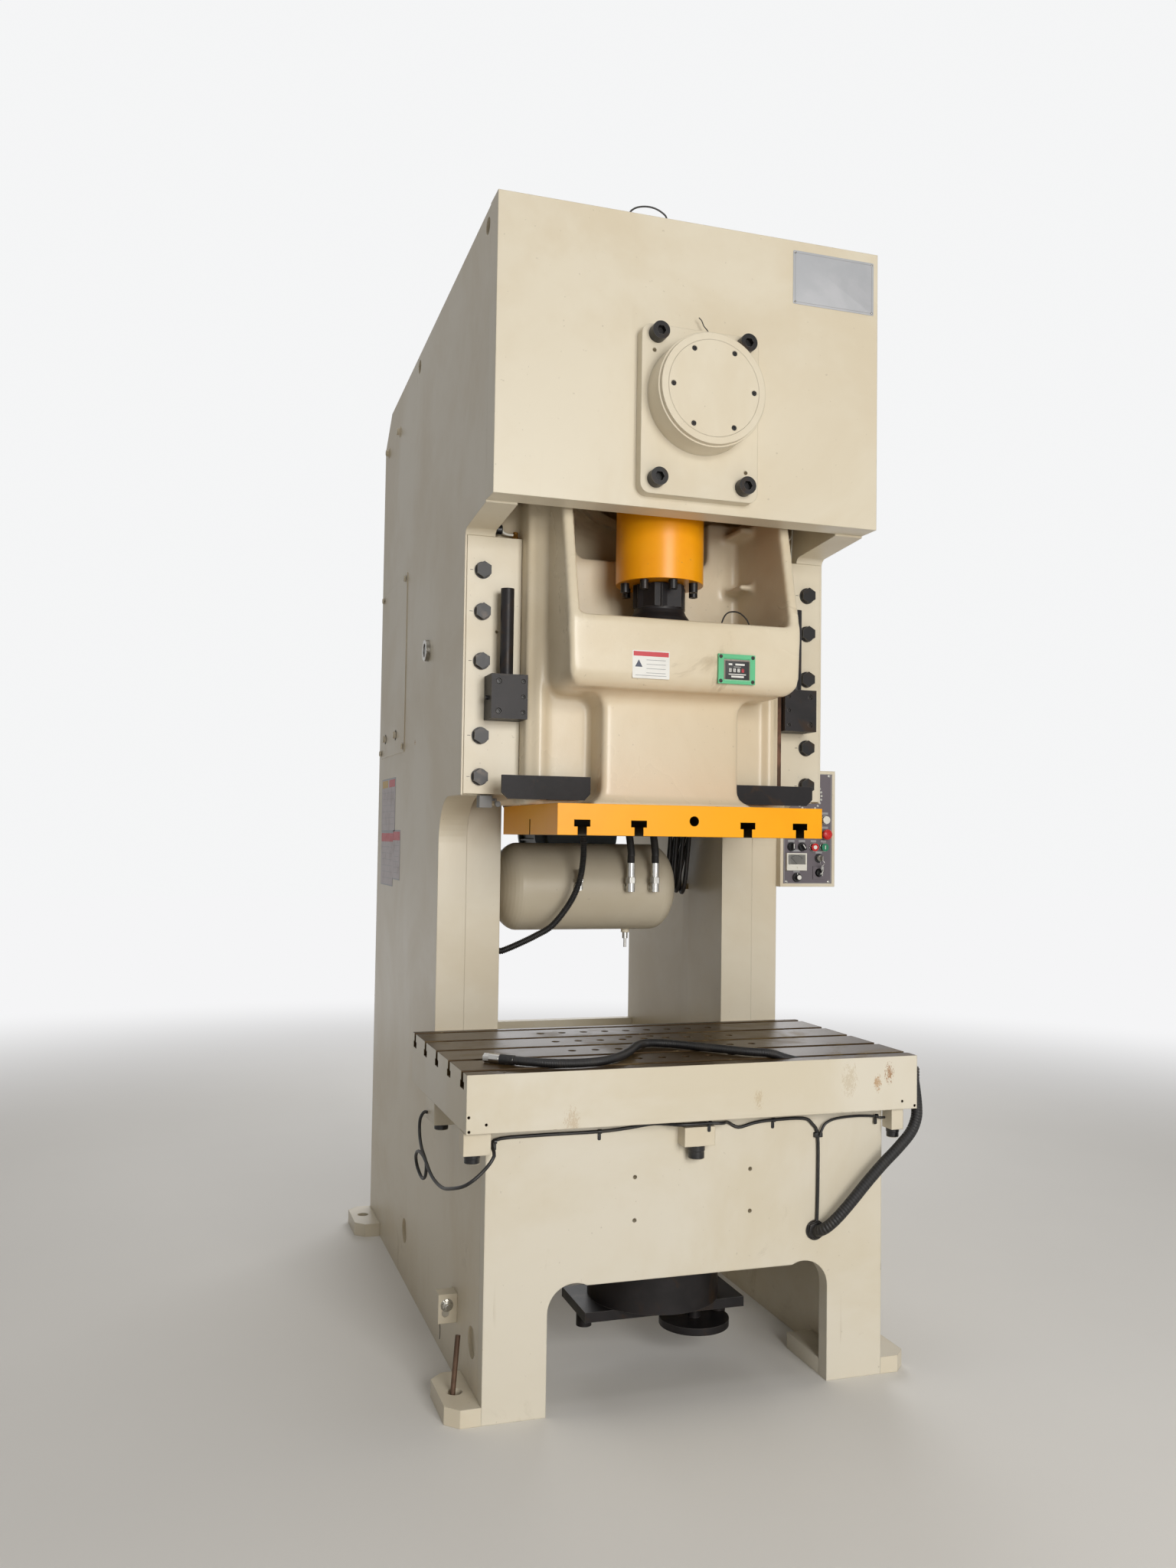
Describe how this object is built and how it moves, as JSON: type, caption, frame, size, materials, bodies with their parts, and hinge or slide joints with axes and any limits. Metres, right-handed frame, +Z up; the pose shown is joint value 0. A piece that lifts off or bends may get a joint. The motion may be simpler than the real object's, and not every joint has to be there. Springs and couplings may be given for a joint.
{
  "type": "mechanical stamping press",
  "caption": "Open-front mechanical stamping press: C-frame with slide, crank drive, bolster, air tank and side control box.",
  "frame": {"origin": "floor level, at the centre of the four anchor holes", "axes": "+X to the right seen from the front, +Y towards the back, +Z up"},
  "size_m": [1.5898, 2.124, 3.5],
  "materials": {
    "cream_paint": "satin machine enamel, blotched and chipped",
    "yellow_paint": "satin enamel",
    "black_steel": "blackened and oily",
    "machined_steel": "turned or ground",
    "grey_paint": "satin",
    "bearing_bronze": "bored",
    "black_rubber": "matt",
    "bright_plating": "polished",
    "green_paint": "gloss",
    "white_plastic": "gloss",
    "red_plastic": "gloss",
    "green_plastic": "gloss",
    "black_plastic": "gloss"
  },
  "bodies": {
    "frame": {"side_plates": "cream_paint", "head_plates": "cream_paint", "cross_walls": "cream_paint", "column_boxes": "cream_paint", "bed_plates": "cream_paint", "bed_table": "cream_paint", "mounting_feet": "cream_paint", "bolster": "cream_paint", "gibs": "cream_paint", "gib_bolts": "black_steel", "bearing_housing": "cream_paint", "bearing_cover": "cream_paint", "bearing_screws": "black_steel", "crank_bushes": "bearing_bronze", "drive_motor": "grey_paint", "drive_belts": "black_rubber", "rear_cover": "cream_paint", "air_tank": "cream_paint", "tank_fittings": "bright_plating", "air_hoses": "black_rubber", "balance_cylinders": "black_steel", "knockout_stops": "black_steel", "side_cover": "cream_paint", "sight_glass": "machined_steel", "control_box": "cream_paint", "control_panel": "grey_paint", "ammeter": "white_plastic", "wall_bracket": "cream_paint", "edge_sensors": "cream_paint", "sensor_cable": "black_rubber", "cushion_cylinder": "black_steel", "limit_switch": "grey_paint", "hose_sleeve": "black_rubber", "air_hose": "black_rubber", "hose_connector": "machined_steel"},
    "slide": {"slide_casting": "cream_paint", "slide_plate": "yellow_paint", "guard_plates": "black_steel", "die_height_counter": "green_paint", "ball_seats": "bearing_bronze", "balance_rods": "machined_steel", "slide_conduit": "black_rubber"},
    "screw": {"adjusting_screw": "black_steel"},
    "connection": {"connecting_rod": "yellow_paint", "rod_screws": "black_steel"},
    "crank": {"crankshaft": "machined_steel", "main_gear": "machined_steel"},
    "pinion": {"pinion_shaft": "machined_steel"},
    "flywheel_body": {"flywheel": "grey_paint"},
    "motor_rotor": {"motor_pulley": "grey_paint"},
    "cushion": {"cushion_plate": "machined_steel"},
    "white_push": {"white_button": "white_plastic"},
    "stop_push": {"stop_button": "red_plastic"},
    "start_push": {"start_button": "green_plastic"},
    "emergency_push": {"emergency_button": "red_plastic"},
    "left_turn": {"left_selector": "black_plastic"},
    "right_turn": {"right_selector": "black_plastic"},
    "key_turn": {"key_switch": "machined_steel"},
    "mode_turn": {"mode_switch": "black_plastic"},
    "knob_turn": {"speed_knob": "black_plastic"}
  },
  "joints": [
    {"name": "slide_stroke", "type": "slide", "parent": "frame", "child": "slide", "axis": [0, 0, 1], "range_m": [-0.2, 0]},
    {"name": "rod_swing", "type": "hinge", "parent": "slide", "child": "screw", "pos_m": [0, -0.679, 2.244], "axis": [0, 1, 0], "range_deg": [0, 7.2]},
    {"name": "die_height_adjust", "type": "slide", "parent": "screw", "child": "connection", "axis": [0, 0, 1], "range_m": [0, 0.1]},
    {"name": "crank_turn", "type": "hinge", "parent": "frame", "child": "crank", "pos_m": [0, -0.679, 2.944], "axis": [0, 1, 0], "range_deg": [0, 180.1]},
    {"name": "pinion_turn", "type": "hinge", "parent": "frame", "child": "pinion", "pos_m": [0, -0.179, 2.419], "axis": [0, 1, 0], "range_deg": [-720.4, 0]},
    {"name": "flywheel_turn", "type": "hinge", "parent": "frame", "child": "flywheel_body", "pos_m": [0, 0.591, 2.419], "axis": [0, 1, 0], "continuous": true},
    {"name": "motor_turn", "type": "hinge", "parent": "frame", "child": "motor_rotor", "pos_m": [0, 0.591, 1.64], "axis": [0, 1, 0], "continuous": true},
    {"name": "cushion_lift", "type": "slide", "parent": "frame", "child": "cushion", "axis": [0, 0, 1], "range_m": [0, 0.055]},
    {"name": "white_button_press", "type": "slide", "parent": "frame", "child": "white_push", "axis": [0, 1, 0], "range_m": [0, 0.005], "stiffness_N_per_m": 800, "springref_m": -0.002},
    {"name": "stop_button_press", "type": "slide", "parent": "frame", "child": "stop_push", "axis": [0, 1, 0], "range_m": [0, 0.005], "stiffness_N_per_m": 800, "springref_m": -0.002},
    {"name": "start_button_press", "type": "slide", "parent": "frame", "child": "start_push", "axis": [0, 1, 0], "range_m": [0, 0.005], "stiffness_N_per_m": 800, "springref_m": -0.002},
    {"name": "emergency_press", "type": "slide", "parent": "frame", "child": "emergency_push", "axis": [0, 1, 0], "range_m": [0, 0.006]},
    {"name": "left_selector_turn", "type": "hinge", "parent": "frame", "child": "left_turn", "pos_m": [0.668, -0.299, 1.601], "axis": [0, 1, 0], "range_deg": [-45, 45]},
    {"name": "right_selector_turn", "type": "hinge", "parent": "frame", "child": "right_turn", "pos_m": [0.711, -0.299, 1.601], "axis": [0, 1, 0], "range_deg": [0, 70]},
    {"name": "key_switch_turn", "type": "hinge", "parent": "frame", "child": "key_turn", "pos_m": [0.78, -0.299, 1.56], "axis": [0, 1, 0], "range_deg": [0, 90]},
    {"name": "mode_switch_turn", "type": "hinge", "parent": "frame", "child": "mode_turn", "pos_m": [0.78, -0.299, 1.507], "axis": [0, 1, 0], "range_deg": [-80, 0]},
    {"name": "speed_knob_turn", "type": "hinge", "parent": "frame", "child": "knob_turn", "pos_m": [0.69, -0.299, 1.49], "axis": [0, 1, 0], "range_deg": [-150, 150]}
  ],
  "couplings": [
    {"joint": "crank_turn", "follows": "slide_stroke", "rad_per_m": -15.708},
    {"joint": "pinion_turn", "follows": "slide_stroke", "rad_per_m": 62.832},
    {"joint": "motor_turn", "follows": "flywheel_turn", "ratio": 6.0649}
  ]
}
